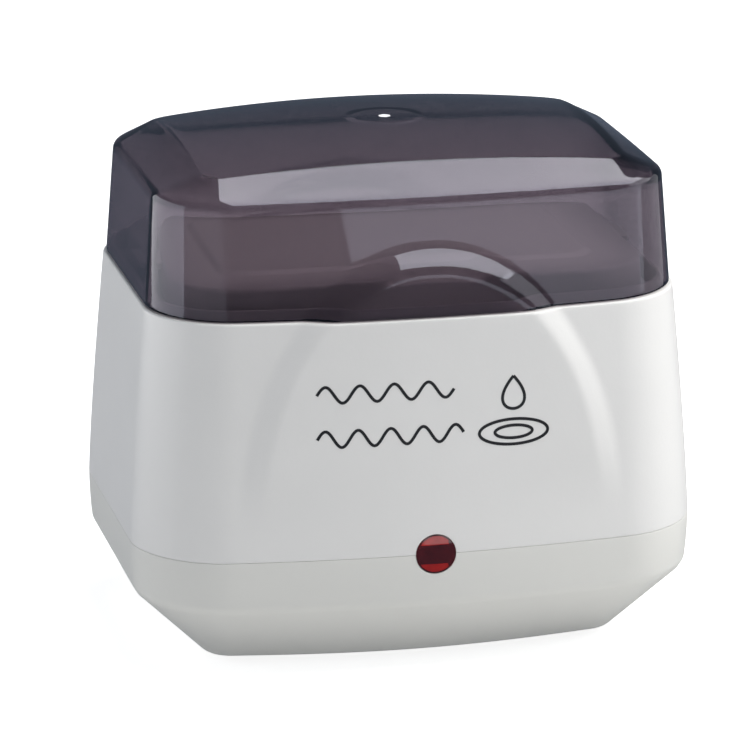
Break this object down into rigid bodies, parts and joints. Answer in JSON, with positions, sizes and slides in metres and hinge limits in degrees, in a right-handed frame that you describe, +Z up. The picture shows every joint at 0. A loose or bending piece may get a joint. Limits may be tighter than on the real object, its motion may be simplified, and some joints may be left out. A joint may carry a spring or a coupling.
{
  "type": "yogurt maker",
  "caption": "Countertop yogurt maker: white bow-fronted body with a raised arch and red lamp, smoked lift-off cover, heated well and a lidded food tub.",
  "frame": {"origin": "on the standing surface, under the middle of the body", "axes": "+X to the viewer's right, -Y towards the viewer of the lamp side, +Z up"},
  "size_m": [0.18, 0.1434, 0.1643],
  "materials": {
    "white_body": "glossy moulded white plastic",
    "well_white": "satin white plastic",
    "smoked_cover": "transparent smoked grey plastic",
    "tub_white": "satin food-grade plastic",
    "silicone": "soft silicone",
    "red_lens": "clear red plastic",
    "lamp_glass": "clear glass",
    "aluminium": "brushed",
    "steel": "zinc plated",
    "brass": "polished",
    "rubber": "matt rubber",
    "ceramic": "matt ceramic",
    "mica": "mica sheet",
    "sleeve": "woven glass sleeve",
    "black_plastic": "matt black plastic",
    "resistor": "lacquered",
    "brown_wire": "wire insulation",
    "blue_wire": "wire insulation",
    "plate_silver": "blank silver foil label"
  },
  "bodies": {
    "base": {"base_shell": "white_body", "housing": "white_body", "well_liner": "well_white", "foot_front_left": "rubber", "foot_front_right": "rubber", "foot_rear_left": "rubber", "foot_rear_right": "rubber", "base_screw_front_left": "steel", "base_screw_front_right": "steel", "base_screw_rear_left": "steel", "base_screw_rear_right": "steel", "heating_plate": "aluminium", "ptc_heater": "ceramic", "insulation_pad": "mica", "heater_clamp": "steel", "clamp_screw_left": "steel", "clamp_screw_right": "steel", "thermal_fuse": "sleeve", "indicator_lens": "red_lens", "neon_lamp": "lamp_glass", "lamp_holder": "black_plastic", "lamp_resistor": "resistor", "inlet_socket": "black_plastic", "inlet_pin_left": "brass", "inlet_pin_right": "brass", "terminal_block": "black_plastic", "live_lead": "brown_wire", "neutral_lead": "blue_wire", "lamp_lead_left": "brown_wire", "lamp_lead_right": "blue_wire", "rating_plate": "plate_silver"},
    "tub": {"inner_tub": "tub_white"},
    "tub_lid": {"tub_lid": "tub_white", "tub_lid_gasket": "silicone"},
    "cover": {"cover": "smoked_cover"}
  },
  "joints": [
    {"name": "tub_lift", "type": "slide", "parent": "base", "child": "tub", "axis": [0, 0, 1], "range_m": [0, 0.13]},
    {"name": "tub_lid_lift", "type": "slide", "parent": "tub", "child": "tub_lid", "axis": [0, 0, 1], "range_m": [0, 0.06]},
    {"name": "cover_lift", "type": "slide", "parent": "tub_lid", "child": "cover", "axis": [0, 0, 1], "range_m": [0, 0.12]}
  ]
}
